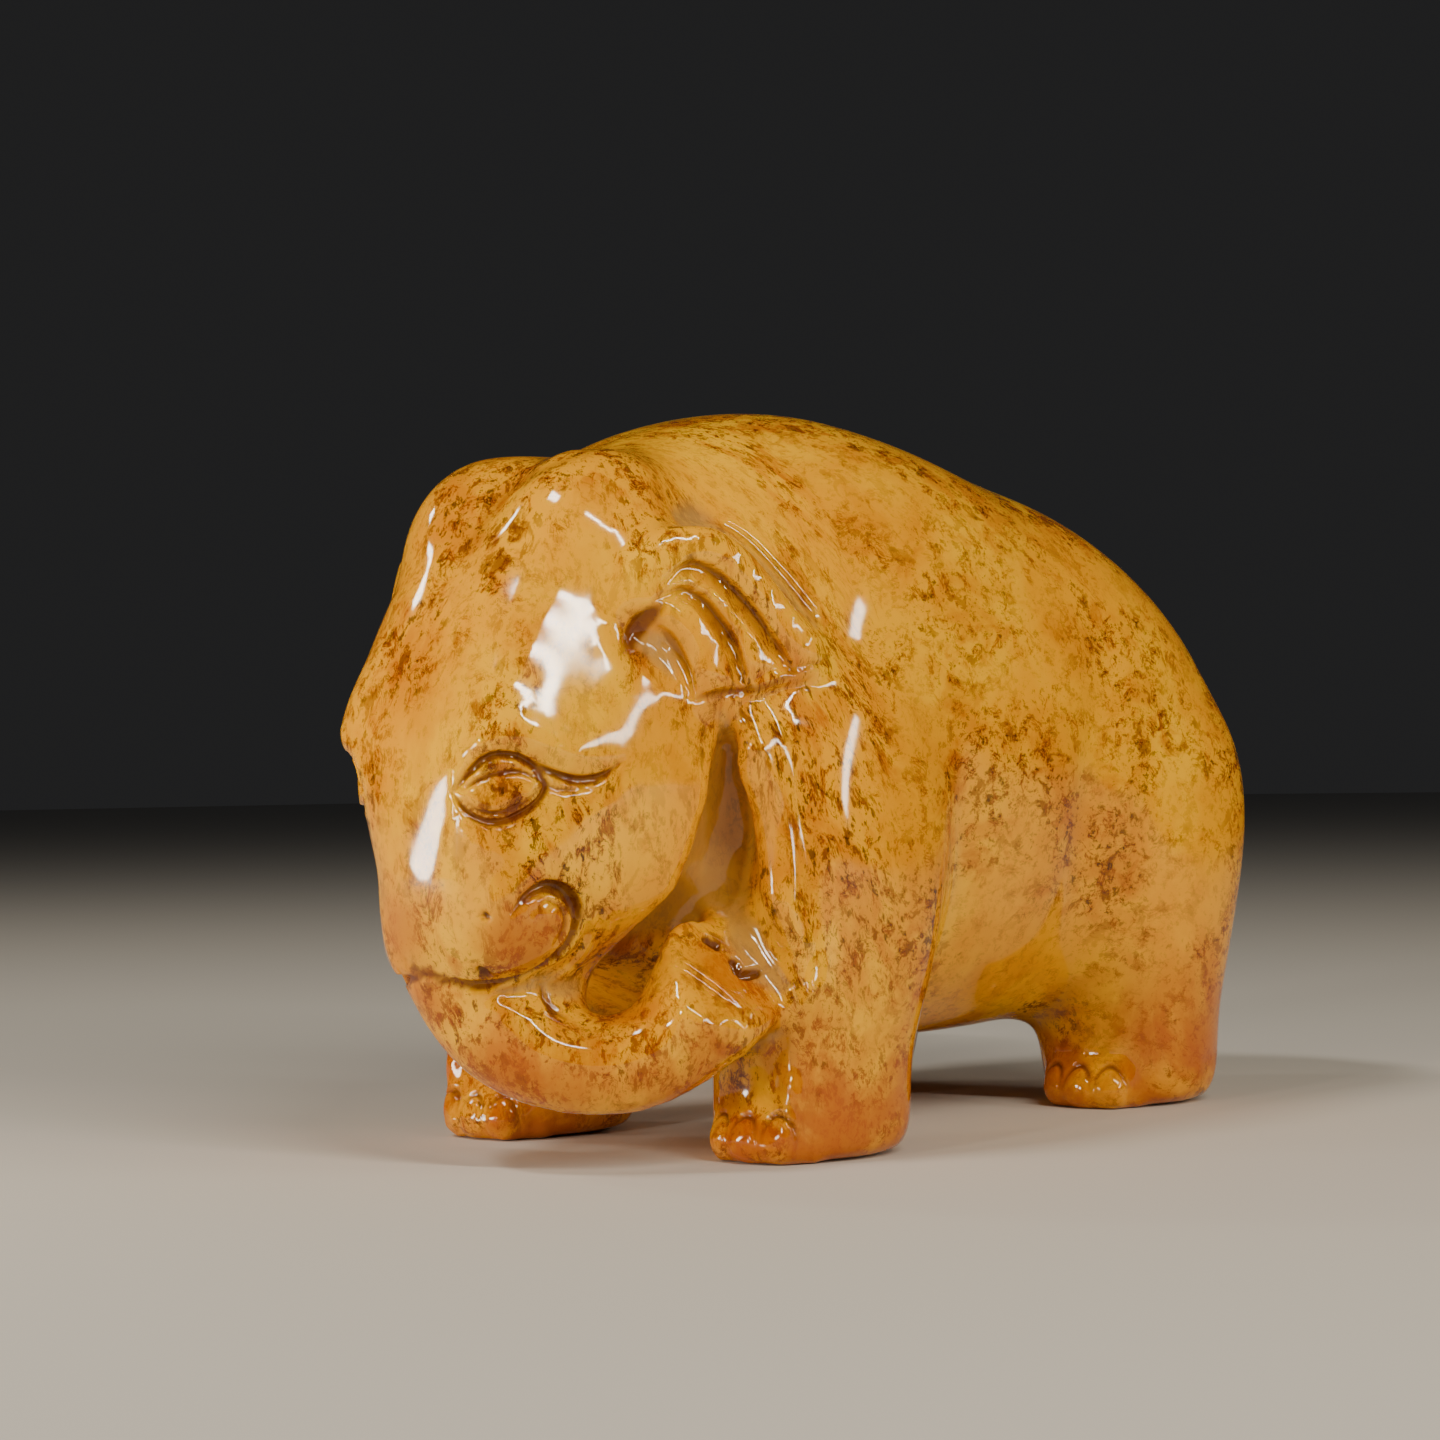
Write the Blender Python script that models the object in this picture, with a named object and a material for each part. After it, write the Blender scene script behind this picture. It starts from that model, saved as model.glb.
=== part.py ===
"""A small yellow jade elephant, carved in one piece: a fat standing animal with its head down, its ears
folded back, and a trunk that curls round to its left and rests its open end against the left foreleg."""

import math

import bmesh
import bpy
import numpy as np
from mathutils import Vector
from mathutils.bvhtree import BVHTree

# The elephant's height in metres drives every other size. It looks along -Y and stands on z = 0, with its
# left side at +X.
HEIGHT = 0.048

# The carver's grid: the figure is 48 squares high, and every form and cut below is drawn in squares.
SQUARE = HEIGHT / 48

# The clay's grain in squares, and how often its surface is softened after each round of lumps
CLAY_GRAIN = 0.45
BLEND_PASSES = 16
RELIEF_PASSES = 3
SOFTENING = 0.5
FINAL_TRIANGLES = 9700

# How many points go round each ring of a form, and how many rings it has
RING_STEPS = 40
ROW_STEPS = 40

JADE = (0.80, 0.42, 0.06, 1.0)
JADE_ROUGHNESS = 0.12


def spread(rows, count):
    """As many rows as asked for, on smooth curves through the columns of the given rows."""
    table = np.array(rows, float)
    padded = np.vstack([2 * table[0] - table[1], table, 2 * table[-1] - table[-2]])
    made = []
    for t in np.linspace(0, len(table) - 1, count):
        i = min(int(t), len(table) - 2)
        u = t - i
        a, b, c, d = padded[i : i + 4]
        bent = (2 * a - 5 * b + 4 * c - d) * u**2 + (3 * b - a - 3 * c + d) * u**3
        made.append((b + ((c - a) * u + bent) / 2).tolist())
    return made


def rounded(outline, count):
    """A closed smooth curve through the points of an outline, with so many steps between each two."""
    closed = outline[-1:] + outline + outline[:2]
    curve = []
    for i in range(len(outline)):
        curve += spread(closed[i : i + 4], 3 * count + 1)[count : 2 * count]
    return curve


def finished(bm, name):
    mesh = bpy.data.meshes.new(name)
    bm.to_mesh(mesh)
    bm.free()
    return mesh


def loft(name, rings):
    """A closed solid through rings of points, with a flat cap on each end."""
    bm = bmesh.new()
    loops = [[bm.verts.new(Vector(p) * SQUARE) for p in ring] for ring in rings]
    for low, high in zip(loops, loops[1:]):
        for i in range(len(low)):
            j = (i + 1) % len(low)
            bm.faces.new((low[i], low[j], high[j], high[i]))
    bm.faces.new(reversed(loops[0]))
    bm.faces.new(loops[-1])
    bmesh.ops.recalc_face_normals(bm, faces=bm.faces)
    return finished(bm, name)


def ball(name, centre, radii, turn=0):
    """An ellipsoid of clay, turned about the vertical by so many degrees."""
    bm = bmesh.new()
    bmesh.ops.create_uvsphere(bm, u_segments=RING_STEPS, v_segments=RING_STEPS // 2, radius=SQUARE)
    c, s = math.cos(math.radians(turn)), math.sin(math.radians(turn))
    for v in bm.verts:
        x, y, z = (r * p for r, p in zip(radii, v.co))
        v.co = Vector(centre) * SQUARE + Vector((c * x - s * y, s * x + c * y, z))
    return finished(bm, name)


def ring_angles():
    return [math.tau * k / RING_STEPS for k in range(RING_STEPS)]


def tube(name, rows, fullness=2.0):
    """A limb along a smooth path, with rows of x, y, z and radius."""
    rows = spread(rows, ROW_STEPS)
    points = [Vector(r[:3]) for r in rows]
    side = Vector((0, 0, 1))
    rings = []
    for i, (p, row) in enumerate(zip(points, rows)):
        along = (points[min(i + 1, ROW_STEPS - 1)] - points[max(i - 1, 0)]).normalized()
        side = (side - along * side.dot(along)).normalized()
        over = along.cross(side)
        ring = []
        for angle in ring_angles():
            c, s = squared(angle, fullness)
            ring.append(p + row[3] * (side * c + over * s))
        rings.append(ring)
    return loft(name, rings)


def squared(angle, fullness):
    """A point of a rounded square at an angle: a fullness of 2 is a circle, and more is squarer."""
    c, s = math.cos(angle), math.sin(angle)
    return math.copysign(abs(c) ** (2 / fullness), c), math.copysign(abs(s) ** (2 / fullness), s)


# The barrel: y, underside z, top z, half width
BARREL = (
    (-25, 14, 41.5, 9.0),
    (-20, 10.5, 44.4, 13.2),
    (-14, 7.5, 46.6, 16.0),
    (-7, 6.0, 47.7, 17.0),
    (2, 5.4, 46.8, 17.2),
    (10, 5.2, 45.0, 17.2),
    (18, 5.6, 43.5, 17.2),
    (25, 7.0, 40.6, 16.6),
    (31, 9.5, 36.2, 14.8),
    (35.2, 13.5, 31.0, 11.4),
    (37.6, 18.0, 27.0, 6.4),
)
BARREL_FULLNESS = 2.3


def barrel():
    rings = []
    for y, low, high, half in spread(BARREL, ROW_STEPS):
        ring = []
        for angle in ring_angles():
            c, s = squared(angle, BARREL_FULLNESS)
            ring.append((half * c, y, (low + high) / 2 + (high - low) / 2 * s))
        rings.append(ring)
    return loft("barrel", rings)


# A leg: z, centre x, centre y, half width, half length
FORELEG = (
    (-1, 11.4, -13.9, 4.8, 5.0),
    (0.2, 11.4, -13.9, 5.6, 5.8),
    (1.6, 11.4, -13.9, 6.0, 6.2),
    (6, 11.3, -13.8, 5.9, 6.4),
    (12, 11.5, -12.9, 6.5, 7.5),
    (20, 11.4, -12.3, 6.9, 8.7),
    (27, 10.4, -12.4, 7.0, 8.9),
    (33, 8.5, -11.5, 6.2, 7.8),
    (38, 6.0, -10.5, 4.0, 5.5),
)
HINDLEG = (
    (-1, 11.4, 22.8, 4.6, 4.8),
    (0.2, 11.4, 22.8, 5.5, 5.7),
    (1.8, 11.4, 22.8, 6.1, 6.3),
    (6, 11.3, 22.8, 6.1, 6.8),
    (12, 11.2, 22.8, 6.7, 9.0),
    (20, 10.6, 23.0, 7.5, 11.6),
    (27, 9.6, 22.6, 7.6, 11.0),
    (34, 7.0, 21.4, 5.6, 8.0),
    (38, 5.0, 20.0, 3.0, 4.0),
)
LEG_FULLNESS = 2.3
# The right hind foot steps forward of the left one, and that hip hardly moves.
HIND_STEP = 6.0
HIP_LEVEL = 40.0


def leg(name, rows, side, step=0):
    rings = []
    for z, x, y, half_width, half_length in spread(rows, ROW_STEPS):
        y -= step * (1 - z / HIP_LEVEL)
        ring = []
        for angle in ring_angles():
            c, s = squared(angle, LEG_FULLNESS)
            ring.append((side * x + half_width * c, y + half_length * s, z))
        rings.append(ring)
    return loft(name, rings)


# The head, cut level by level: z, front y, nose half width, cheek half width, cheek y, back y, and how far
# the nose leans to the elephant's left, where the trunk curls
HEAD = (
    (43.9, -26.5, 2.8, 4.3, -23, -20, 0),
    (42.0, -29.0, 4.5, 7.2, -24, -17, 0),
    (38, -32.3, 5.5, 9.4, -24, -15, 0),
    (34, -34.6, 6.5, 10.8, -24, -15, 0),
    (30, -36.3, 6.9, 11.6, -24, -15, 0),
    (26.5, -37.7, 6.7, 11.9, -24, -15, 0.2),
    (22, -38.1, 5.8, 11.9, -24.2, -16, 0.9),
    (17, -37.9, 5.3, 10.8, -25.2, -19, 1.7),
    (14.5, -37.4, 5.3, 8.4, -27.5, -22, 1.9),
    (12.5, -36.6, 4.6, 6.3, -29.2, -25, 1.8),
    (11.4, -35.2, 3.0, 4.0, -30.2, -27, 1.4),
)
NOSE_SETBACK = 1.6
# The nape's half width as a share of the cheek's, and how far it stands in front of the back
NAPE_SHARE = 0.62
NAPE_SETBACK = 1.2


def head():
    rings = []
    for z, front, nose, cheek, cheek_y, back, lean in spread(HEAD, ROW_STEPS):
        left = [[nose, front + NOSE_SETBACK], [cheek, cheek_y], [cheek * NAPE_SHARE, back + NAPE_SETBACK]]
        right = [[-x, y] for x, y in left[::-1]]
        left[0][0] += lean
        right[-1][0] += lean
        outline = [[lean, front]] + left + [[0, back]] + right
        rings.append([(x, y, z) for x, y in rounded(outline, RING_STEPS // len(outline))])
    return loft("head", rings)


# The trunk, the jaw and the lip run along paths: x, y, z, radius
TRUNK = (
    (0.0, -31.5, 22.0, 5.0),
    (0.0, -32.4, 15.5, 4.9),
    (0.7, -31.7, 11.0, 4.2),
    (2.6, -31.4, 8.2, 3.5),
    (5.2, -30.1, 6.6, 3.0),
    (8.0, -27.7, 6.3, 2.9),
    (10.2, -25.4, 7.8, 3.1),
    (11.4, -23.8, 10.2, 3.6),
    (12.8, -22.1, 13.2, 4.0),
    (14.2, -20.5, 16.2, 4.2),
)
TRUNK_FULLNESS = 3.0
# The trunk's open end is a flat cut, which faces left and up.
TRUNK_END = (12.4, -22.7, 11.7)
TRUNK_END_FACING = (0.75, -0.12, 0.65)


def trunk():
    bm = bmesh.new()
    bm.from_mesh(tube("trunk", TRUNK, TRUNK_FULLNESS))
    everything = bm.verts[:] + bm.edges[:] + bm.faces[:]
    end = Vector(TRUNK_END) * SQUARE
    bmesh.ops.bisect_plane(bm, geom=everything, plane_co=end, plane_no=TRUNK_END_FACING, clear_outer=True)
    bmesh.ops.holes_fill(bm, edges=bm.edges[:])
    return finished(bm, "trunk")


JAW = (
    (0.0, -25.0, 18.0, 5.0),
    (0.6, -27.4, 13.5, 3.2),
    (2.6, -28.5, 10.2, 2.5),
    (4.0, -29.6, 7.6, 2.0),
)
# The upper lip is a thick roll from one mouth corner round the trunk's root to the other.
LIP = (
    (6.2, -31.3, 14.9, 1.5),
    (5.2, -32.3, 14.2, 2.0),
    (3.2, -33.4, 13.6, 2.3),
    (0.0, -34.0, 13.4, 2.5),
)


def body_forms():
    """The large lumps, which flow into one another."""
    lip = LIP + tuple((-x, y, z, radius) for x, y, z, radius in LIP[-2::-1])
    forms = [barrel(), head(), trunk(), tube("jaw", JAW), tube("lip", lip)]
    forms.append(leg("hindleg", HINDLEG, 1))
    forms.append(leg("hindleg", HINDLEG, -1, HIND_STEP))
    for side in (1, -1):
        forms.append(leg("foreleg", FORELEG, side))
        forms.append(ball("shoulder", (side * 10.0, -13.8, 25.0), (7.4, 9.4, 8.0)))
        forms.append(ball("dome", (side * 3.9, -25.0, 36.5), (6.0, 7.2, 7.6)))
        forms.append(ball("brow", (side * 4.6, -33.4, 27.4), (3.6, 4.0, 3.8)))
        forms.append(ball("ear_root", (side * 8.5, -26.9, 34.4), (2.2, 2.4, 2.8)))
    return forms


# The ear lies on a plane that leaves the head backwards and outwards: x = EAR_REACH + EAR_FLARE * y. Its
# outline is drawn from the side, in y and z, round from the root over the top to the tip and back below.
EAR_REACH = 26.5
EAR_FLARE = 0.56
EAR_OUTLINE = [
    [-30.0, 33.6],
    [-29.2, 36.0],
    [-27.4, 38.2],
    [-24.8, 38.9],
    [-22.0, 37.0],
    [-19.4, 33.4],
    [-17.6, 31.0],
    [-18.4, 30.0],
    [-21.8, 28.9],
    [-25.2, 28.0],
    [-26.6, 30.6],
    [-28.2, 32.2],
]
EAR_DEPTH = 4.5
EAR_ROUNDING = 0.9
# How far down from the ear's face each ring lies, and how far in from its outline, in roundings
EAR_EDGE = ((EAR_DEPTH / EAR_ROUNDING, 0), (1, 0), (0.6, 0.1), (0.3, 0.3), (0.1, 0.6), (0, 1))


def ear(side):
    out = Vector((1, -EAR_FLARE, 0)).normalized()
    curve = rounded(EAR_OUTLINE, RING_STEPS // len(EAR_OUTLINE))
    middle = Vector(np.mean(curve, axis=0).tolist())
    rings = []
    for down, inset in EAR_EDGE:
        ring = []
        for point in curve:
            y, z = Vector(point) + (middle - Vector(point)).normalized() * inset * EAR_ROUNDING
            p = Vector((EAR_REACH + EAR_FLARE * y, y, z)) - out * down * EAR_ROUNDING
            ring.append((side * p.x, p.y, p.z))
        rings.append(ring)
    return loft("ear", rings)


# The deep recess behind each cheek, drilled down between the head and the chest: x, y, z, radius
RECESS = (
    (12.5, -22.5, 27.0, 0.8),
    (12.1, -22.4, 24.5, 1.2),
    (11.5, -22.2, 21.0, 1.8),
    (10.1, -22.8, 17.0, 2.3),
    (7.7, -23.6, 13.8, 2.8),
    (5.2, -24.0, 10.5, 2.6),
    (3.0, -24.0, 7.5, 2.2),
)


def drill(obj):
    """Takes the recesses out of the figure."""
    for side in (1, -1):
        rows = [(side * x, y, z, radius) for x, y, z, radius in RECESS]
        bit = bpy.data.objects.new("bit", tube("bit", rows))
        bpy.context.scene.collection.objects.link(bit)
        taken = obj.modifiers.new("recess", "BOOLEAN")
        taken.operation = "DIFFERENCE"
        taken.object = bit
        apply_modifiers(obj)
        bpy.data.objects.remove(bit)


EYE = (5.6, -35.2, 22.7)
EYE_RADII = (3.0, 0.7, 1.6)
EYE_TURN = 50
LIP_END = (6.3, -31.4, 14.8)
LIP_END_RADIUS = 1.6
NAIL_RADII = (1.5, 1.5, 1.7)
NAIL_HEIGHT = 1.3
NAIL_SPACING = 20


def nails(rows, side, step=0):
    """Three toenails round the front of a foot."""
    x, y, half_width, half_length = rows[2][1:]
    forms = []
    for k in (-1, 0, 1):
        angle = math.radians(NAIL_SPACING * k + side)
        at = (side * x + half_width * math.sin(angle), y - step - half_length * math.cos(angle), NAIL_HEIGHT)
        forms.append(ball("nail", at, NAIL_RADII, math.degrees(angle)))
    return forms


def relief_forms():
    """The smaller lumps, which keep a clear edge against the body."""
    forms = [trunk()]
    forms += nails(HINDLEG, 1) + nails(HINDLEG, -1, HIND_STEP)
    for side in (1, -1):
        forms.append(ear(side))
        forms.append(ball("lip_end", (side * LIP_END[0],) + LIP_END[1:], [LIP_END_RADIUS] * 3))
        forms.append(ball("eye", (side * EYE[0],) + EYE[1:], EYE_RADII, side * EYE_TURN))
        forms += nails(FORELEG, side)
    return forms


# Cuts and ridges, each along a smooth line on the surface: x, y, z, half width, depth. A negative depth
# raises a ridge. Those of one side of the figure are drawn on its left and repeated on its right.
SIDE_CUTS = {
    "ear_flute_outer": (
        (11.5, -26.2, 35.0, 0.6, 0.3),
        (12.4, -24.5, 35.7, 0.9, 0.8),
        (13.4, -22.6, 34.0, 1.0, 0.9),
        (14.8, -20.1, 30.4, 0.8, 0.7),
    ),
    "ear_flute_middle": (
        (10.9, -27.2, 34.0, 0.6, 0.3),
        (12.0, -25.2, 34.2, 1.0, 0.8),
        (13.0, -23.4, 32.0, 1.0, 0.9),
        (13.4, -22.6, 29.3, 0.8, 0.7),
    ),
    "ear_flute_inner": (
        (11.0, -26.9, 32.2, 0.8, 0.3),
        (11.5, -26.2, 30.6, 0.9, 0.6),
        (11.8, -25.5, 28.2, 0.7, 0.5),
    ),
    "temple": (
        (9.8, -29.0, 32.3, 1.4, 0.4),
        (10.7, -27.6, 31.4, 1.8, 0.8),
        (11.2, -26.8, 29.6, 1.2, 0.4),
    ),
    "upper_eyelid": (
        (3.9, -37.7, 22.4, 0.5, 0.2),
        (5.6, -36.7, 24.5, 0.7, 0.4),
        (7.2, -34.6, 24.2, 0.7, 0.5),
        (8.0, -33.2, 23.0, 0.7, 0.5),
    ),
    "lower_eyelid": (
        (3.9, -37.7, 22.4, 0.5, 0.2),
        (5.3, -36.2, 20.7, 0.7, 0.4),
        (7.0, -34.5, 21.3, 0.7, 0.5),
        (8.0, -33.2, 23.0, 0.7, 0.5),
    ),
    "eye_tail": (
        (7.9, -33.4, 23.0, 0.7, 0.6),
        (9.0, -31.6, 23.1, 0.6, 0.5),
        (10.1, -29.8, 24.3, 0.4, 0.2),
    ),
    "brow": (
        (5.4, -37.0, 25.4, 1.3, -0.3),
        (7.0, -35.8, 26.0, 1.5, -0.4),
        (9.0, -32.1, 24.9, 1.3, -0.2),
    ),
    "mouth": (
        (5.4, -34.2, 15.8, 0.6, 0.3),
        (6.6, -33.0, 17.0, 0.8, 0.7),
        (7.6, -31.4, 16.4, 0.9, 1.0),
        (7.8, -30.4, 14.8, 0.9, 1.0),
        (6.6, -30.6, 13.0, 0.9, 0.8),
    ),
    "under_lip": (
        (0.0, -36.8, 11.4, 0.7, 0.1),
        (2.6, -35.8, 11.1, 0.9, 0.5),
        (4.6, -33.6, 11.2, 0.9, 0.7),
        (6.2, -31.0, 12.6, 0.9, 0.7),
    ),
    "recess_edge": (
        (12.2, -21.4, 26.0, 1.8, 0.5),
        (11.8, -20.8, 21.5, 2.8, 1.2),
        (11.0, -20.6, 18.0, 2.6, 1.2),
        (10.2, -20.4, 15.5, 1.4, 0.4),
    ),
    "shoulder_ridge": (
        (12.6, -22.2, 28.2, 1.3, -0.7),
        (13.2, -21.8, 23.0, 1.8, -1.2),
        (14.2, -20.2, 16.0, 1.8, -1.1),
        (15.4, -18.9, 10.6, 1.4, -0.8),
    ),
    "shin_ridge": (
        (15.6, -18.7, 10.6, 1.2, -0.5),
        (15.0, -19.3, 6.5, 1.4, -0.6),
        (13.9, -19.9, 2.5, 1.2, -0.4),
    ),
    "elbow": (
        (16.8, -5.6, 27.0, 1.6, 0.2),
        (16.8, -4.6, 21.0, 1.9, 0.6),
        (15.2, -3.3, 15.6, 2.0, 0.6),
        (12.5, -1.8, 10.9, 1.8, 0.2),
    ),
    "flank": (
        (16.3, 13.0, 33.0, 2.4, 0.2),
        (17.1, 11.0, 27.0, 2.8, 0.7),
        (17.0, 9.6, 20.0, 2.8, 0.9),
        (14.4, 10.4, 12.5, 2.6, 0.7),
        (12.0, 12.0, 8.0, 2.2, 0.3),
    ),
    "neck": (
        (8.0, -20.0, 44.0, 1.8, 0.2),
        (10.6, -22.2, 41.0, 2.0, 0.7),
        (10.6, -25.0, 38.6, 1.6, 0.5),
    ),
}
MIDDLE_CUTS = {
    "forehead": (
        (0.0, -20.0, 45.0, 2.0, 0.2),
        (0.2, -26.5, 43.0, 2.2, 0.8),
        (0.2, -31.0, 39.6, 2.2, 0.9),
        (0.0, -34.3, 34.6, 1.8, 0.3),
    ),
}
NOSTRILS = ((11.5, -23.0, 13.2), (13.1, -22.1, 11.2))
NOSTRIL_RADIUS = 0.7
NOSTRIL_DEPTH = 0.6
CUT_STEPS = 24


def cuts():
    """Every cut's line, as rows of x, y, z, half width and depth."""
    lines = [spread(rows, CUT_STEPS) for rows in MIDDLE_CUTS.values()]
    for rows in SIDE_CUTS.values():
        lines.append(spread(rows, CUT_STEPS))
        lines.append([[-row[0]] + row[1:] for row in lines[-1]])
    for x, y, z in NOSTRILS:
        lines.append([[x, y, z, NOSTRIL_RADIUS, NOSTRIL_DEPTH]])
    return lines


def carve(obj):
    """Moves the surface in or out along its normals, most at a cut's line and less towards its sides."""
    mesh = obj.data
    tree = BVHTree.FromPolygons([v.co for v in mesh.vertices], [p.vertices for p in mesh.polygons])
    points = np.array([v.co for v in mesh.vertices]) / SQUARE
    normals = np.array([v.normal for v in mesh.vertices])
    depths = np.zeros(len(points))
    for line in cuts():
        path = np.array([tree.find_nearest(Vector(row[:3]) * SQUARE)[0] for row in line]) / SQUARE
        widths, deep = np.array(line)[:, 3], np.array(line)[:, 4]
        reach = widths.max()
        near = np.all((points > path.min(0) - reach) & (points < path.max(0) + reach), axis=1).nonzero()[0]
        apart = np.linalg.norm(points[near, None] - path[None], axis=2)
        share = np.clip(1 - (apart / widths) ** 2, 0, 1) ** 2 * deep
        strongest = np.abs(share).argmax(axis=1)
        depths[near] += share[np.arange(len(near)), strongest]
    moved = (points - normals * depths[:, None]) * SQUARE
    mesh.vertices.foreach_set("co", moved.astype(np.float32).ravel())
    mesh.update()


def fuse(obj, passes):
    """Grows the lumps of a mesh together and softens them."""
    remesh = obj.modifiers.new("grow_together", "REMESH")
    remesh.mode = "VOXEL"
    remesh.voxel_size = CLAY_GRAIN * SQUARE
    smooth = obj.modifiers.new("soften", "SMOOTH")
    smooth.factor = SOFTENING
    smooth.iterations = passes
    apply_modifiers(obj)


def add_forms(obj, forms):
    bm = bmesh.new()
    for mesh in [obj.data] + forms:
        bm.from_mesh(mesh)
    bm.to_mesh(obj.data)
    bm.free()


# The tail grows out of the rump, hangs down it a little to the left and ends in a tuft: x, z, radius, and
# how deep its middle line lies in the rump
TAIL = (
    (0.0, 35.5, 1.4, 1.6),
    (0.1, 32.5, 1.6, 0.6),
    (0.3, 28.5, 1.5, 0.2),
    (1.0, 24.0, 1.4, 0.1),
    (2.2, 19.5, 1.3, 0.1),
    (3.2, 15.8, 1.9, 0.3),
    (3.9, 12.3, 1.0, 0.5),
)
# A point well behind the figure
FAR_BEHIND = 100


def tail(obj):
    """The tail, laid on the rump where a line from behind meets it."""
    mesh = obj.data
    tree = BVHTree.FromPolygons([v.co for v in mesh.vertices], [p.vertices for p in mesh.polygons])
    rows = []
    for x, z, radius, sunk in TAIL:
        behind = Vector((x, FAR_BEHIND, z)) * SQUARE
        y = tree.ray_cast(behind, Vector((0, -1, 0)))[0].y / SQUARE
        rows.append((x, y - sunk, z, radius))
    return tube("tail", rows)


def thin_out(obj):
    """Fewer and larger facets on the smooth stretches, with the small ones kept at the carving."""
    obj.data.calc_loop_triangles()
    thin = obj.modifiers.new("thin_out", "DECIMATE")
    thin.ratio = FINAL_TRIANGLES / len(obj.data.loop_triangles)
    apply_modifiers(obj)


def level_soles(obj):
    """Cuts the feet off flat at z = 0, and stands the figure on the middle of its box."""
    bm = bmesh.new()
    bm.from_mesh(obj.data)
    everything = bm.verts[:] + bm.edges[:] + bm.faces[:]
    bmesh.ops.bisect_plane(bm, geom=everything, plane_co=(0, 0, 0), plane_no=(0, 0, 1), clear_inner=True)
    bmesh.ops.holes_fill(bm, edges=bm.edges[:])
    bmesh.ops.triangulate(bm, faces=bm.faces[:])
    middle = [(min(v.co[i] for v in bm.verts) + max(v.co[i] for v in bm.verts)) / 2 for i in (0, 1)]
    bmesh.ops.translate(bm, verts=bm.verts[:], vec=(-middle[0], -middle[1], 0))
    bm.to_mesh(obj.data)
    bm.free()


def apply_modifiers(obj):
    graph = bpy.context.evaluated_depsgraph_get()
    made = bpy.data.meshes.new_from_object(obj.evaluated_get(graph))
    obj.modifiers.clear()
    obj.data = made


def jade():
    material = bpy.data.materials.new("jade")
    material.use_nodes = True
    shader = material.node_tree.nodes["Principled BSDF"]
    shader.inputs["Base Color"].default_value = JADE
    shader.inputs["Roughness"].default_value = JADE_ROUGHNESS
    shader.inputs["Metallic"].default_value = 0
    return material


def main():
    for old in list(bpy.data.objects):
        bpy.data.objects.remove(old)
    elephant = bpy.data.objects.new("elephant", bpy.data.meshes.new("elephant"))
    bpy.context.scene.collection.objects.link(elephant)
    add_forms(elephant, body_forms())
    fuse(elephant, BLEND_PASSES)
    drill(elephant)
    add_forms(elephant, relief_forms() + [tail(elephant)])
    fuse(elephant, RELIEF_PASSES)
    carve(elephant)
    thin_out(elephant)
    level_soles(elephant)
    elephant.data.materials.append(jade())
    return elephant


main()
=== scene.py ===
"""A polished yellow jade elephant on a pale studio floor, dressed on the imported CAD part."""

import math

import bpy
import numpy as np
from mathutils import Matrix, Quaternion, Vector
from mathutils.bvhtree import BVHTree


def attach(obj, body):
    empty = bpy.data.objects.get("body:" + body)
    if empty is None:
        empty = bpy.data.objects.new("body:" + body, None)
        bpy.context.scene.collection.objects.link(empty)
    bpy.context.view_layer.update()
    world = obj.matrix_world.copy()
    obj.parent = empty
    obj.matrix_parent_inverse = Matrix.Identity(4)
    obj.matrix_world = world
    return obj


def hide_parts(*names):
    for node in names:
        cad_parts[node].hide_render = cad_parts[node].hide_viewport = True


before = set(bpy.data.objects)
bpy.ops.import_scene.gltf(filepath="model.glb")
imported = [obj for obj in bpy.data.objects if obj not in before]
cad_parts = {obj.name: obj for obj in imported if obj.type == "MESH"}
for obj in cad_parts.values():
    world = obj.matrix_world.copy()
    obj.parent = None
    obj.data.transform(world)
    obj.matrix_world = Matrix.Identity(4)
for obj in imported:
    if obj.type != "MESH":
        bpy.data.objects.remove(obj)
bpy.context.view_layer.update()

# The camera
# It stands close to the elephant, off its left eye and level with its belly, where the photograph was taken
# from. Everything drawn on the carving below is aimed from here.
MM = 0.001
PHOTO_SIZE = 1440
PHOTO_HORIZON = 782
FOCAL_PIXELS = 3000
SENSOR_WIDTH = 36.0
CAMERA_PLACE = Vector((127.34, -161.05, 23.19)) * MM
CAMERA_TURN = math.radians(40)
CAMERA_ROLL = math.radians(-0.8)

camera = bpy.data.objects.new("photo_camera", bpy.data.cameras.new("photo_camera"))
bpy.context.scene.collection.objects.link(camera)
camera.data.sensor_width = SENSOR_WIDTH
camera.data.lens = SENSOR_WIDTH * FOCAL_PIXELS / PHOTO_SIZE
camera.data.shift_y = (PHOTO_HORIZON - PHOTO_SIZE / 2) / PHOTO_SIZE
camera.location = CAMERA_PLACE
forward = Vector((-math.sin(CAMERA_TURN), math.cos(CAMERA_TURN), 0))
rolled = Quaternion((0, 0, 1), CAMERA_ROLL)
camera.rotation_euler = (forward.to_track_quat("-Z", "Y") @ rolled).to_euler()
bpy.context.scene.camera = camera

# The elephant
# One solid pebble of yellow jade with russet staining, sawn, drilled and ground to shape, cut with small
# burrs at the eyes, ears, mouth, nostrils and toenails, and then polished all over to a wet shine.
WELD = 0.001 * MM
ROUGH_GRAIN = 0.58 * MM
POLISH_PULL = 0.5
ALL_PASSES = 5
PLAIN_PASSES = 44
BURR_CUTS = 2
BURR_PASSES = 12

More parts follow.
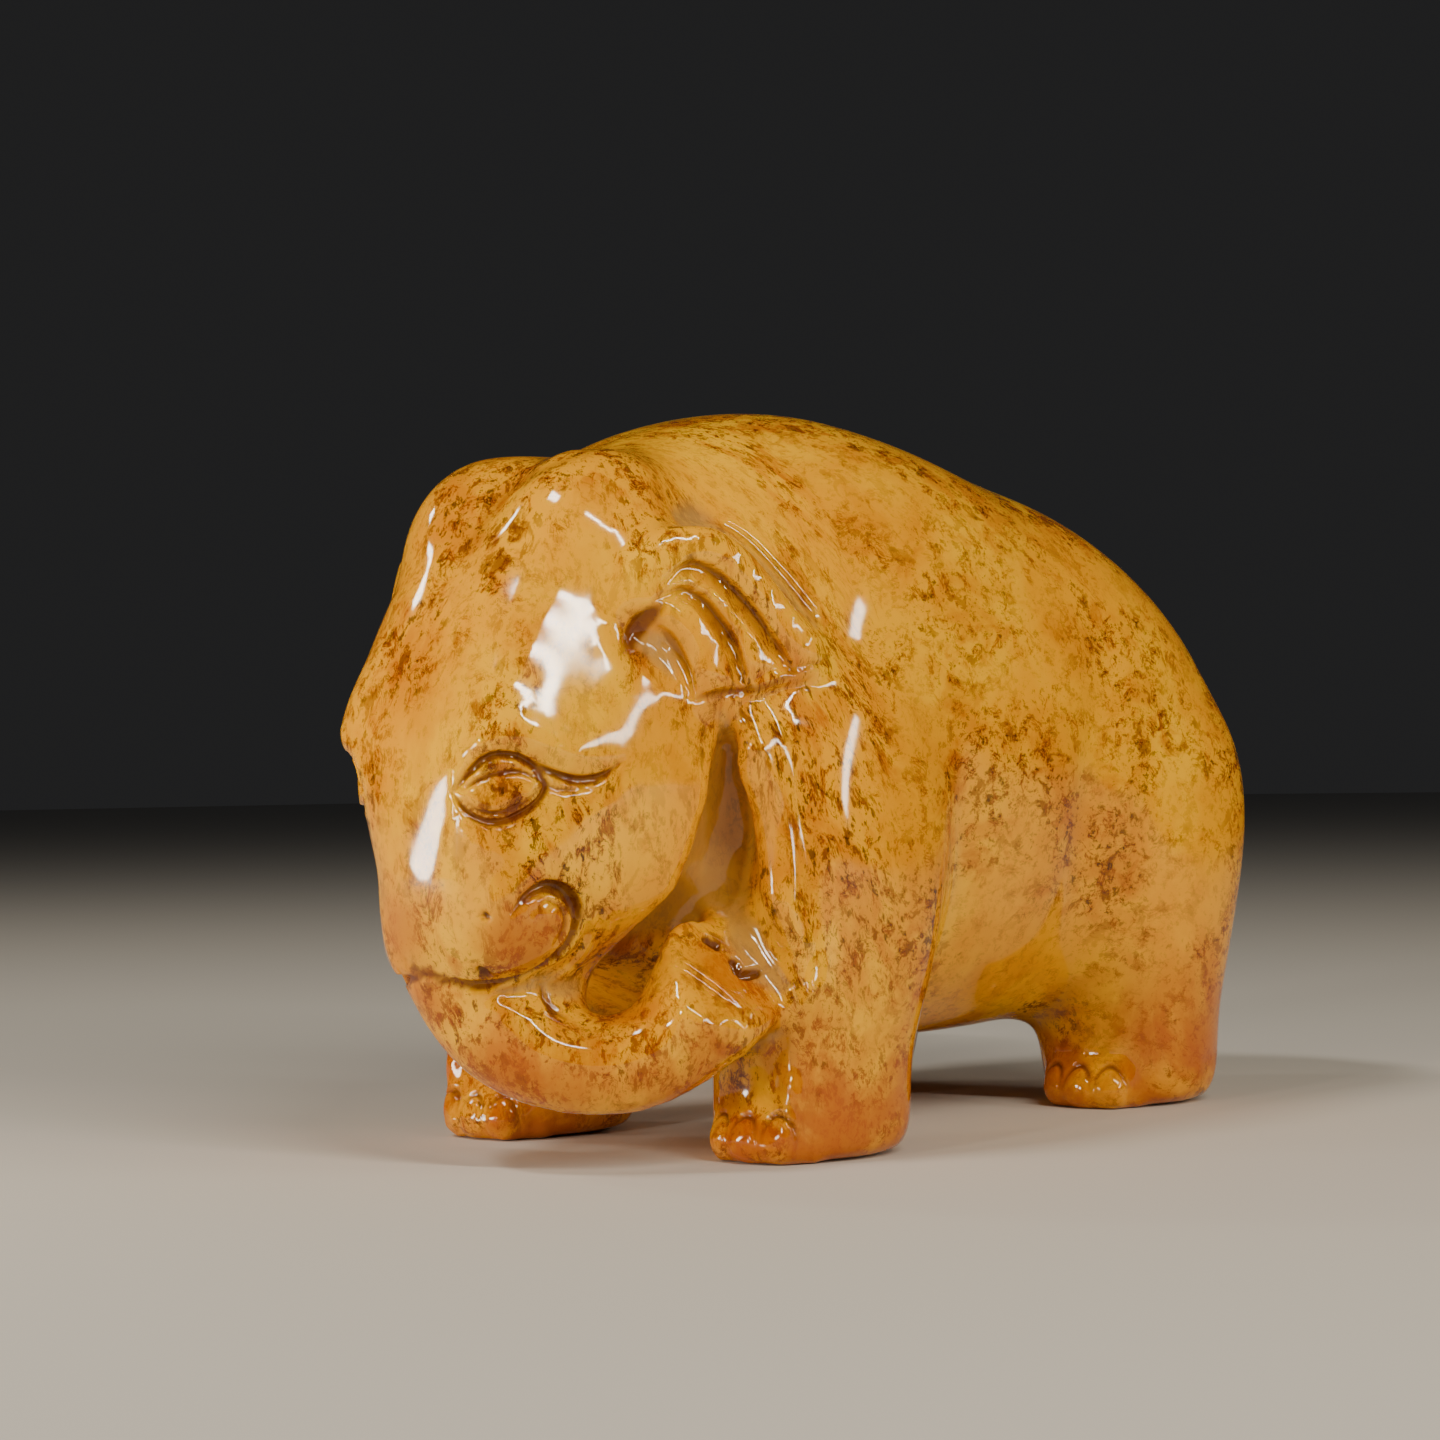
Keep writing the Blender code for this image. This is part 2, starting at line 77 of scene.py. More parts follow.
bpy.ops.object.select_all(action="DESELECT")
elephant = bpy.data.objects.new("jade_elephant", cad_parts["elephant"].data.copy())
bpy.context.scene.collection.objects.link(elephant)
elephant.select_set(True)
bpy.context.view_layer.objects.active = elephant
bpy.ops.object.mode_set(mode="EDIT")
bpy.ops.mesh.select_all(action="SELECT")
bpy.ops.mesh.remove_doubles(threshold=WELD)
bpy.ops.object.mode_set(mode="OBJECT")
grind = elephant.modifiers.new("grind", "REMESH")
grind.mode = "VOXEL"
grind.voxel_size = ROUGH_GRAIN
bpy.ops.object.modifier_apply(modifier="grind")

# The finely carved places, each a ball in millimetres. Those of the left side are repeated on the right.
BURR_SIDES = {
    "ear": ((12.6, -24.6, 33.6), 7.6),
    "eye": ((6.6, -34.6, 23.0), 4.6),
    "eye_tail": ((9.4, -31.0, 24.0), 2.6),
    "lip": ((5.6, -32.6, 14.4), 5.2),
    "forefoot": ((11.4, -20.4, 1.6), 4.6),
    "ridge_top": ((13.0, -21.6, 27.0), 2.6),
}
# Narrow places that keep their edges, though they carry no fine carving
CRISP_SIDES = {
    "recess_top": ((10.4, -24.2, 23.5), 3.2),
    "recess_middle": ((8.8, -24.6, 18.5), 3.6),
    "recess_foot": ((7.6, -24.0, 13.5), 4.6),
    "jaw": ((3.6, -28.6, 11.0), 3.6),
}
BURR_SINGLES = {
    "trunk_end": ((11.6, -23.2, 12.0), 5.6),
    "left_hindfoot": ((11.4, 16.4, 1.6), 4.2),
    "right_hindfoot": ((-11.4, 10.6, 1.6), 4.2),
}


def vertex_table(mesh):
    """The places and the normals of a mesh's vertices, in millimetres and as unit arrows."""
    places = np.zeros(3 * len(mesh.vertices), np.float32)
    mesh.vertices.foreach_get("co", places)
    arrows = np.zeros(3 * len(mesh.vertices), np.float32)
    mesh.vertices.foreach_get("normal", arrows)
    return places.reshape(-1, 3) / MM, arrows.reshape(-1, 3)


def in_balls(places, *groups):
    """Which of these places in millimetres lie in the balls of some groups, on either side of the figure."""
    found = np.zeros(len(places), bool)
    for group in groups:
        for middle, reach in group.values():
            for side in (1,) if group is BURR_SINGLES else (1, -1):
                found |= np.linalg.norm(places - np.array(middle) * (side, 1, 1), axis=1) < reach
    return found


def polish(passes, group=""):
    """Softens the surface of the elephant, all over or only where a vertex group says."""
    soften = elephant.modifiers.new("polish", "SMOOTH")
    soften.factor = POLISH_PULL
    soften.iterations = passes
    soften.vertex_group = group
    bpy.ops.object.modifier_apply(modifier="polish")


places = vertex_table(elephant.data)[0]
plain = elephant.vertex_groups.new(name="plain")
kept = in_balls(places, BURR_SIDES, BURR_SINGLES, CRISP_SIDES)
plain.add([int(i) for i in np.flatnonzero(~kept)], 1.0, "REPLACE")
polish(ALL_PASSES)
polish(PLAIN_PASSES, "plain")

# How deep each place lies in a fold or hollow, found by letting the surface sag flat. The deep hollows are
# painted a duller tan from this.
SAG_PASSES = 60
SAG_FULL = 0.5

places, arrows = vertex_table(elephant.data)
pairs = np.zeros(2 * len(elephant.data.edges), np.int32)
elephant.data.edges.foreach_get("vertices", pairs)
pairs = pairs.reshape(-1, 2)
both = np.concatenate([pairs[:, 0], pairs[:, 1]])
other = np.concatenate([pairs[:, 1], pairs[:, 0]])
neighbours = np.bincount(both, minlength=len(places))
sagged = places.astype(float)
for turn in range(SAG_PASSES):
    pulled = [np.bincount(both, weights=sagged[other, axis], minlength=len(places)) for axis in range(3)]
    sagged = (sagged + np.array(pulled).T / neighbours[:, None]) / 2
hollow = np.clip(((sagged - places) * arrows).sum(axis=1) / SAG_FULL, -1, 1)
elephant.data.attributes.new("hollow", "FLOAT", "POINT")
elephant.data.attributes["hollow"].data.foreach_set("value", hollow.astype(np.float32))

bpy.ops.object.mode_set(mode="EDIT")
bpy.ops.mesh.select_mode(type="FACE")
bpy.ops.mesh.select_all(action="DESELECT")
bpy.ops.object.mode_set(mode="OBJECT")
centres = np.zeros(3 * len(elephant.data.polygons), np.float32)
elephant.data.polygons.foreach_get("center", centres)
finely = in_balls(centres.reshape(-1, 3) / MM, BURR_SIDES, BURR_SINGLES)
elephant.data.polygons.foreach_set("select", finely)
bpy.ops.object.mode_set(mode="EDIT")
bpy.ops.mesh.subdivide(number_cuts=BURR_CUTS)
bpy.ops.mesh.quads_convert_to_tris()
bpy.ops.object.mode_set(mode="OBJECT")
places = vertex_table(elephant.data)[0]
burr = elephant.vertex_groups.new(name="burr")
finely = in_balls(places, BURR_SIDES, BURR_SINGLES)
burr.add([int(i) for i in np.flatnonzero(finely)], 1.0, "REPLACE")
polish(BURR_PASSES, "burr")


def skin():
    """The elephant's surface as it now stands, to aim at."""
    mesh = elephant.data
    return BVHTree.FromPolygons([v.co for v in mesh.vertices], [f.vertices for f in mesh.polygons])


def aimed(pixel, surface):
    """Where a pixel of the photograph falls on the carving, in millimetres."""
    aim = Vector((pixel[0] - PHOTO_SIZE / 2, PHOTO_HORIZON - pixel[1], -FOCAL_PIXELS))
    aim.rotate(camera.rotation_euler)
    return np.array(surface.ray_cast(CAMERA_PLACE, aim.normalized())[0]) / MM


def smooth_line(rows, count):
    """So many rows on a smooth curve through the given rows."""
    table = np.array(rows, float)
    padded = np.vstack([2 * table[0] - table[1], table, 2 * table[-1] - table[-2]])
    made = []
    for t in np.linspace(0, len(table) - 1, count):
        i = min(int(t), len(table) - 2)
        u = t - i
        a, b, c, d = padded[i : i + 4]
        bent = (2 * a - 5 * b + 4 * c - d) * u**2 + (3 * b - a - 3 * c + d) * u**3
        made.append(b + ((c - a) * u + bent) / 2)
    return np.array(made)


# The burr's cuts, as the camera sees them on the left side: pixels of the photograph along a line, and at
# each the half width and the depth in millimetres. A negative depth leaves a ridge. A wall is a cut with
# one steep bank, on the left of the line's direction, and one that rises gently away from it.
EYE_CUTS = {
    "upper_lid": [(452, 793, 0.20, 0.10), (470, 771, 0.34, 0.38), (490, 757, 0.36, 0.42),
                  (515, 757, 0.36, 0.42), (535, 768, 0.34, 0.40), (547, 786, 0.30, 0.34)],
    "lower_lid": [(452, 793, 0.20, 0.10), (463, 809, 0.30, 0.34), (480, 820, 0.36, 0.40),
                  (500, 822, 0.36, 0.42), (525, 812, 0.36, 0.42), (541, 798, 0.32, 0.38),
                  (547, 786, 0.30, 0.34)],
    "inner_lid": [(458, 792, 0.16, 0.10), (480, 779, 0.24, 0.30), (500, 773, 0.26, 0.34),
                  (522, 772, 0.24, 0.30), (541, 781, 0.16, 0.10)],
    "eyeball_foot": [(463, 800, 0.16, 0.10), (480, 811, 0.24, 0.28), (500, 813, 0.26, 0.32),
                     (522, 804, 0.24, 0.28), (541, 789, 0.16, 0.10)],
    "tail": [(535, 764, 0.24, 0.16), (556, 775, 0.36, 0.40), (580, 781, 0.42, 0.44),
             (603, 776, 0.36, 0.34), (624, 760, 0.16, 0.08)],
    "tail_foot": [(547, 787, 0.20, 0.16), (566, 790, 0.24, 0.22), (590, 788, 0.18, 0.08)],
}
MOUTH_CUTS = {
    "corner": [(512, 914, 0.24, 0.10), (527, 897, 0.42, 0.40), (548, 887, 0.52, 0.65),
               (568, 895, 0.56, 0.75), (578, 915, 0.56, 0.75), (572, 940, 0.50, 0.60),
               (556, 961, 0.40, 0.35)],
    "lip_edge": [(402, 958, 0.30, 0.10), (425, 975, 0.40, 0.25), (450, 983, 0.45, 0.40),
                 (483, 986, 0.50, 0.50), (520, 977, 0.50, 0.50), (545, 965, 0.50, 0.45),
                 (562, 950, 0.40, 0.30)],
    "corner_fold": [(548, 900, 0.22, 0.10), (562, 908, 0.26, 0.22), (566, 926, 0.26, 0.22),
                    (556, 944, 0.22, 0.10)],
    "lip_rim": [(582, 900, 0.40, -0.05), (591, 920, 0.50, -0.25), (586, 946, 0.55, -0.30),
                (570, 968, 0.50, -0.25), (552, 980, 0.40, -0.05)],
    "under_jaw": [(541, 985, 0.30, 0.15), (548, 1003, 0.40, 0.25), (566, 1018, 0.30, 0.15)],
}
EAR_WALLS = {
    "outer_fold": [(668, 580, 0.50, 0.10), (687, 565, 0.85, 0.40), (708, 567, 1.00, 0.55),
                   (733, 586, 1.05, 0.60), (758, 614, 1.05, 0.60), (776, 641, 1.00, 0.55),
                   (791, 664, 0.80, 0.35)],
    "middle_fold": [(656, 600, 0.50, 0.10), (680, 589, 0.85, 0.40), (701, 596, 1.00, 0.55),
                    (723, 621, 1.05, 0.60), (737, 646, 1.00, 0.55), (746, 676, 0.80, 0.35)],
    "inner_fold": [(660, 628, 0.50, 0.10), (671, 637, 0.75, 0.35), (682, 655, 0.80, 0.45),
                   (691, 676, 0.75, 0.40), (694, 692, 0.60, 0.25)],
}
EAR_CUTS = {
    "root": [(628, 655, 0.5, 0.10), (634, 634, 0.9, 0.35), (648, 618, 0.9, 0.35), (664, 606, 0.5, 0.15)],
    "lower_edge": [(696, 700, 0.35, 0.12), (720, 694, 0.50, 0.22), (745, 691, 0.50, 0.22),
                   (770, 682, 0.45, 0.20), (797, 670, 0.40, 0.16), (826, 663, 0.30, 0.08)],
    "upper_edge": [(690, 521, 0.35, 0.05), (716, 522, 0.40, 0.12), (742, 535, 0.45, 0.15),
                   (768, 560, 0.45, 0.15), (800, 597, 0.45, 0.15), (833, 642, 0.40, 0.12)],
}
SHOULDER_CUTS = {
    "top_ridge": [(741, 699, 0.5, -0.15), (765, 684, 0.7, -0.30), (800, 674, 0.7, -0.25),
                  (832, 668, 0.5, -0.10)],
    "front_ridge": [(744, 697, 1.0, -0.10), (756, 745, 1.8, -0.40), (768, 810, 2.0, -0.55),
                    (782, 880, 1.8, -0.45), (796, 940, 1.2, -0.15)],
    "shin": [(815, 992, 0.8, -0.10), (808, 1050, 1.6, -0.25), (797, 1095, 1.6, -0.25),
             (786, 1135, 0.8, -0.10)],
}
# Drawn only where the photograph shows them
LEFT_CUTS = {
    "near_nostril": [(708, 940, 0.50, 0.60), (716, 945, 0.50, 0.60)],
    "far_nostril": [(734, 962, 0.45, 0.50), (742, 973, 0.55, 0.70), (756, 973, 0.45, 0.40)],
    "tip_front_edge": [(664, 950, 0.50, -0.20), (690, 968, 0.50, -0.35), (720, 990, 0.50, -0.35),
                       (750, 1012, 0.50, -0.15)],
    "tip_left_edge": [(664, 950, 0.50, -0.20), (676, 933, 0.50, -0.30), (694, 922, 0.50, -0.15)],
    "cheek_pit": [(481, 971, 0.40, 0.45), (486, 975, 0.40, 0.45)],
    "lip_pit": [(484, 914, 0.28, 0.30), (487, 917, 0.28, 0.30)],
    "shoulder_pit": [(868, 818, 0.25, 0.25), (871, 820, 0.25, 0.25)],
    "forehead": [(640, 430, 0.9, 0.04), (590, 448, 1.1, 0.10), (540, 470, 1.2, 0.14),
                 (500, 500, 1.2, 0.14), (470, 545, 1.2, 0.12), (442, 587, 0.9, 0.04)],
}
STEEP_BANK = 0.22
CUT_ROUNDNESS = 1.5
# How deep a cut is when it is full of dirt, and how much less an ear's wall holds
DIRT_FULL = 0.30
WALL_DIRT = 0.35
LINE_STEPS = 60


def drawn(rows, surface):
    """A line drawn in pixels, laid on the carving: x, y, z, half width and depth in millimetres."""
    table = smooth_line(rows, LINE_STEPS)
    return np.array([[*aimed(row[:2], surface), row[2], row[3]] for row in table])


def mirrored(line, surface):
    """The same line on the other side of the figure, laid on what the surface is there."""
    other = line.copy()
    other[:, 0] *= -1
    for row in other:
        row[:3] = np.array(surface.find_nearest(Vector(row[:3]) * MM)[0]) / MM
    return other


def cut_depths(line, places, arrows, wall=0):
    """How deep one cut goes at every vertex. A wall of 1 or -1 has its steep bank on the left or right."""
    reach = line[:, 3].max()
    low, high = line[:, :3].min(0) - reach, line[:, :3].max(0) + reach
    near = np.flatnonzero(np.all((places > low) & (places < high), axis=1))
    depths = np.zeros(len(places))
    if not len(near):
        return depths
    starts, steps = line[:-1, :3], np.diff(line[:, :3], axis=0)
    lengths = np.maximum((steps**2).sum(axis=1), 1e-12)
    offset = places[near, None] - starts[None]
    share = np.clip((offset * steps[None]).sum(axis=2) / lengths, 0, 1)
    away = offset - share[:, :, None] * steps[None]
    apart = np.linalg.norm(away, axis=2)
    part = apart.argmin(axis=1)
    row = np.arange(len(near))
    along = share[row, part]
    width = line[part, 3] * (1 - along) + line[part + 1, 3] * along
    deep = line[part, 4] * (1 - along) + line[part + 1, 4] * along
    apart = apart[row, part]
    if wall:
        left = np.cross(arrows[near], steps[part])
        leans = (away[row, part] * left).sum(axis=1) * wall > 0
        width = np.where(leans, STEEP_BANK, width)
    depths[near] = deep * np.clip(1 - (apart / width) ** 2, 0, 1) ** (1.0 if wall else CUT_ROUNDNESS)
    return depths


surface = skin()
places, arrows = vertex_table(elephant.data)
lines = []
for rows in [*EYE_CUTS.values(), *MOUTH_CUTS.values(), *EAR_CUTS.values(), *SHOULDER_CUTS.values()]:
    left_line = drawn(rows, surface)
    lines += [(left_line, 0), (mirrored(left_line, surface), 0)]
for rows in EAR_WALLS.values():
    left_line = drawn(rows, surface)
    lines += [(left_line, 1), (mirrored(left_line, surface), -1)]
for rows in LEFT_CUTS.values():
    lines.append((drawn(rows, surface), 0))

# Three toenails on the front of each foot, each under a crescent cut: the foot's middle and its half width
# and half length at nail height, then the nails' angles round it
FEET = {
    "left_forefoot": (11.4, -14.4, 6.2, 6.4, 1),
    "right_forefoot": (-11.4, -14.4, 6.2, 6.4, -1),
    "left_hindfoot": (11.4, 22.3, 6.2, 6.4, 1),
    "right_hindfoot": (-11.4, 16.5, 6.2, 6.4, -1),
}
NAIL_ANGLES = (-20, 0, 20)
NAIL_HALF_ANGLE = 9
NAIL_TOP = 2.9
NAIL_FOOT = 0.5
NAIL_STEPS = 16
NAIL_CUT = 0.28
NAIL_DEPTH = 0.22
NAIL_END_DEPTH = 0.02
for middle_x, middle_y, half_width, half_length, lean in FEET.values():
    for nail_angle in NAIL_ANGLES:
        crescent = []
        for turn in np.linspace(0, math.pi, NAIL_STEPS):
            angle = math.radians(nail_angle + lean + NAIL_HALF_ANGLE * math.cos(turn))
            height = NAIL_FOOT + (NAIL_TOP - NAIL_FOOT) * math.sin(turn)
            across, along = half_width * math.sin(angle), half_length * math.cos(angle)
            guess = (middle_x + across, middle_y - along, height)
            spot = np.array(surface.find_nearest(Vector(guess) * MM)[0]) / MM
            crescent.append([*spot, NAIL_CUT, NAIL_DEPTH * math.sin(turn) + NAIL_END_DEPTH])
        lines.append((np.array(crescent), 0))

depths = np.zeros(len(places))
dirt = np.zeros(len(places))
for line, wall in lines:
    made = cut_depths(line, places, arrows, wall)
    depths = np.where(np.abs(made) > np.abs(depths), made, depths)
    dirt = np.maximum(dirt, made * (WALL_DIRT if wall else 1))
carved = (places - arrows * depths[:, None]) * MM
elephant.data.vertices.foreach_set("co", carved.astype(np.float32).ravel())
elephant.data.update()
dirt = np.clip(dirt / DIRT_FULL, 0, 1)
elephant.data.attributes.new("groove", "FLOAT", "POINT")
elephant.data.attributes["groove"].data.foreach_set("value", dirt.astype(np.float32))

# Darker patches in the stone, as the camera sees them: a pixel of the photograph, the reach in millimetres,
# how strong, and whether the other side has it too
PATCHES = {
    "eyeball": (504, 794, 2.1, 0.8, True),
    "eyeball_corner": (532, 785, 1.3, 0.7, True),
    "mouth_fold": (566, 912, 1.5, 0.9, True),
    "forehead_spot": (506, 532, 1.7, 1.0, False),
    "forehead_spot_low": (503, 560, 1.5, 0.8, False),
    "ear_pocket": (636, 632, 2.0, 0.7, True),
    "tip_side": (705, 985, 2.2, 0.6, False),
    "tip_side_low": (735, 1020, 1.8, 0.6, False),
    "cheek_pit_dirt": (484, 973, 0.7, 1.4, False),
    "under_trunk_root": (415, 985, 2.4, 0.7, False),
    "shoulder_top": (780, 745, 2.4, 0.5, False),
}
# Places painted orange as a painted glow, as if light shone through the stone there
PAINTED_GLOWS = {
    "lip_lobe": (526, 944, 3.0, 1.0, True),
    "lip_corner": (556, 925, 1.6, 0.9, True),
    "jaw_rim": (622, 940, 2.4, 0.8, True),
    "cheek_rim": (672, 892, 2.0, 0.7, True),
    "cheek_rim_top": (706, 840, 1.6, 0.5, True),
    "trunk_tip": (728, 978, 3.6, 0.8, False),
    "muzzle_front": (404, 930, 3.0, 0.7, False),
    "trunk_root": (425, 1000, 3.0, 0.7, False),
    "trunk_under": (560, 1085, 3.0, 0.7, False),
}
SPOT_SPREAD = 1.3
for name, spots in {"patches": PATCHES, "painted_glows": PAINTED_GLOWS}.items():
    level = np.zeros(len(places))
    for column, row, reach, strength, both_sides in spots.values():
        spot = aimed((column, row), surface)
        for side in (1, -1) if both_sides else (1,):
            away = np.linalg.norm(places - spot * (side, 1, 1), axis=1) / reach
            level = np.maximum(level, strength * np.clip(SPOT_SPREAD - away, 0, 1))
    elephant.data.attributes.new(name, "FLOAT", "POINT")
    elephant.data.attributes[name].data.foreach_set("value", level.astype(np.float32))
bpy.ops.object.shade_smooth()


def tone(hex_colour):
    """An sRGB colour such as E0A030 as the linear colour that shaders take."""
    made = []
    for i in (0, 2, 4):
        level = int(hex_colour[i : i + 2], 16) / 255
        made.append(level / 12.92 if level <= 0.04045 else ((level + 0.055) / 1.055) ** 2.4)
    return (*made, 1.0)


def add_node(material, kind, settings=None, links=None):
    """A node with its settings and its links, which give inputs a value or another node's output."""
    node = material.node_tree.nodes.new(kind)
    for name, value in (settings or {}).items():
        setattr(node, name, value)
    for name, value in (links or {}).items():
        if isinstance(value, bpy.types.NodeSocket):
            material.node_tree.links.new(value, node.inputs[name])
        else:
            node.inputs[name].default_value = value
    return node


# Polished nephrite, a tough waxy stone a little clear at its thin edges. Its honey yellow is clouded with
# amber and orange, veined and peppered with russet iron stain, and the burr's cuts hold brown dirt.
HONEY = tone("E9A100")
PALE_HONEY = tone("F3B400")
DEEP_AMBER = tone("CA7800")
FIRE_ORANGE = tone("AE5200")
RUSSET = tone("662A00")
DARK_RUSSET = tone("341504")
HOLLOW_TAN = tone("B28748")
JADE_IOR = 1.61
JADE_SHINE = 0.35
JADE_CLARITY = 0.1
LIGHT_REACH = 1.6 * MM
LIGHT_COLOURS = (1.0, 0.45, 0.12)

jade = bpy.data.materials.new("polished_yellow_jade")
jade.use_nodes = True
shader = jade.node_tree.nodes["Principled BSDF"]
coords = add_node(jade, "ShaderNodeTexCoord").outputs["Object"]
position = add_node(jade, "ShaderNodeSeparateXYZ", links={"Vector": coords})

# The stain is drawn out down the face and trunk, and along the body, which starts behind the ears.
FACE_SQUEEZE = (1.0, 1.0, 0.55)
BODY_SQUEEZE = (1.0, 0.7, 1.0)
FACE_ENDS = -24 * MM
BODY_STARTS = -14 * MM
face_grain = add_node(jade, "ShaderNodeMapping", links={"Vector": coords, "Scale": FACE_SQUEEZE})
body_grain = add_node(jade, "ShaderNodeMapping", links={"Vector": coords, "Scale": BODY_SQUEEZE})
is_body = add_node(jade, "ShaderNodeMapRange", links={
    "Value": position.outputs["Y"], "From Min": FACE_ENDS, "From Max": BODY_STARTS})
grain = add_node(jade, "ShaderNodeMix", {"data_type": "VECTOR"}, {
    0: is_body.outputs["Result"],
    4: face_grain.outputs["Vector"], 5: body_grain.outputs["Vector"]}).outputs[1]

# The stone's own clouds, then where the stain has come in at all
CLOUD_SIZE = 14 * MM
STAINED_SIZE = 9 * MM
clouds = add_node(jade, "ShaderNodeTexNoise", links={
    "Vector": coords, "Scale": 1 / CLOUD_SIZE, "Detail": 3, "Roughness": 0.5, "Distortion": 0.4})
base = add_node(jade, "ShaderNodeMapRange", {"interpolation_type": "SMOOTHSTEP"}, {
    "Value": clouds.outputs["Fac"], "From Min": 0.42, "From Max": 0.62}).outputs["Result"]
base = add_node(jade, "ShaderNodeMix", {"data_type": "RGBA"}, {
    0: base, 6: HONEY, 7: PALE_HONEY}).outputs[2]
reached = add_node(jade, "ShaderNodeTexNoise", links={
    "Vector": grain, "Scale": 1 / STAINED_SIZE, "Detail": 5, "Roughness": 0.6, "Distortion": 0.3})
reached = add_node(jade, "ShaderNodeMapRange", {"interpolation_type": "SMOOTHSTEP"}, {
    "Value": reached.outputs["Fac"], "From Min": 0.38, "From Max": 0.58,
    "To Min": 0.25, "To Max": 1.0}).outputs["Result"]

# Each kind of stain: its size in millimetres, detail, roughness and twist, between which levels of the
# pattern it comes in, its strength and its colour. A vein is the thin line where a pattern crosses a level.
STAINS = {
    "amber_cloud": (5.0, 6, 0.62, 0.3, 0.44, 0.62, 0.8, DEEP_AMBER),
    "orange_cloud": (3.2, 7, 0.66, 0.5, 0.52, 0.66, 0.75, FIRE_ORANGE),
    "moss": (1.5, 8, 0.76, 0.4, 0.535, 0.585, 0.8, RUSSET),
    "pepper": (0.7, 6, 0.72, 0.2, 0.565, 0.61, 0.8, DARK_RUSSET),
}
VEINS = {
    "orange_halo": (2.4, 6, 0.62, 1.0, 0.50, 0.06, 0.7, FIRE_ORANGE),
    "russet_vein": (2.4, 6, 0.62, 1.0, 0.50, 0.022, 0.9, RUSSET),
    "fine_vein": (1.4, 6, 0.66, 1.2, 0.49, 0.028, 0.9, DARK_RUSSET),
}
BREAK_SIZE = 1.3 * MM

broken = add_node(jade, "ShaderNodeTexNoise", links={
    "Vector": coords, "Scale": 1 / BREAK_SIZE, "Detail": 5, "Roughness": 0.65, "Distortion": 0.3})
broken = add_node(jade, "ShaderNodeMapRange", {"interpolation_type": "SMOOTHSTEP"}, {
    "Value": broken.outputs["Fac"], "From Min": 0.47, "From Max": 0.58}).outputs["Result"]
for size, detail, rough, twist, low, high, strength, colour in STAINS.values():
    pattern = add_node(jade, "ShaderNodeTexNoise", links={
        "Vector": grain, "Scale": 1 / (size * MM), "Detail": detail,
        "Roughness": rough, "Distortion": twist})
    share = add_node(jade, "ShaderNodeMapRange", {"interpolation_type": "SMOOTHSTEP"}, {
        "Value": pattern.outputs["Fac"], "From Min": low, "From Max": high, "To Max": strength})
    share = add_node(jade, "ShaderNodeMath", {"operation": "MULTIPLY"}, {
        0: share.outputs["Result"], 1: reached})
    base = add_node(jade, "ShaderNodeMix", {"data_type": "RGBA"}, {
        0: share.outputs["Value"], 6: base, 7: colour}).outputs[2]
for size, detail, rough, twist, level, width, strength, colour in VEINS.values():
    pattern = add_node(jade, "ShaderNodeTexNoise", links={
        "Vector": grain, "Scale": 1 / (size * MM), "Detail": detail,
        "Roughness": rough, "Distortion": twist})
    off = add_node(jade, "ShaderNodeMath", {"operation": "SUBTRACT"}, {0: pattern.outputs["Fac"], 1: level})
    off = add_node(jade, "ShaderNodeMath", {"operation": "ABSOLUTE"}, {0: off.outputs["Value"]})
    share = add_node(jade, "ShaderNodeMapRange", {"interpolation_type": "SMOOTHSTEP"}, {
        "Value": off.outputs["Value"], "From Min": width, "From Max": 0.0, "To Max": strength})
    share = add_node(jade, "ShaderNodeMath", {"operation": "MULTIPLY"}, {
        0: share.outputs["Result"], 1: broken})
    share = add_node(jade, "ShaderNodeMath", {"operation": "MULTIPLY"}, {
        0: share.outputs["Value"], 1: reached})
    base = add_node(jade, "ShaderNodeMix", {"data_type": "RGBA"}, {
        0: share.outputs["Value"], 6: base, 7: colour}).outputs[2]

# The feet and the belly's underside are painted orange towards the bottom, a painted glow standing in for
# light shining through the stone there.
GLOW_TOP = 15 * MM
GLOW_FULL = 2 * MM
GLOW_STRENGTH = 0.85
GLOW_CLOUDS = 7 * MM
low_down = add_node(jade, "ShaderNodeMapRange", {"interpolation_type": "SMOOTHSTEP"}, {
    "Value": position.outputs["Z"], "From Min": GLOW_TOP, "From Max": GLOW_FULL, "To Max": GLOW_STRENGTH})
uneven = add_node(jade, "ShaderNodeTexNoise", links={
    "Vector": coords, "Scale": 1 / GLOW_CLOUDS, "Detail": 6, "Roughness": 0.6, "Distortion": 0.5})
uneven = add_node(jade, "ShaderNodeMapRange", {"interpolation_type": "SMOOTHSTEP"}, {
    "Value": uneven.outputs["Fac"], "From Min": 0.36, "From Max": 0.60})
low_down = add_node(jade, "ShaderNodeMath", {"operation": "MULTIPLY"}, {
    0: low_down.outputs["Result"], 1: uneven.outputs["Result"]})
base = add_node(jade, "ShaderNodeMix", {"data_type": "RGBA"}, {
    0: low_down.outputs["Value"], 6: base, 7: FIRE_ORANGE}).outputs[2]
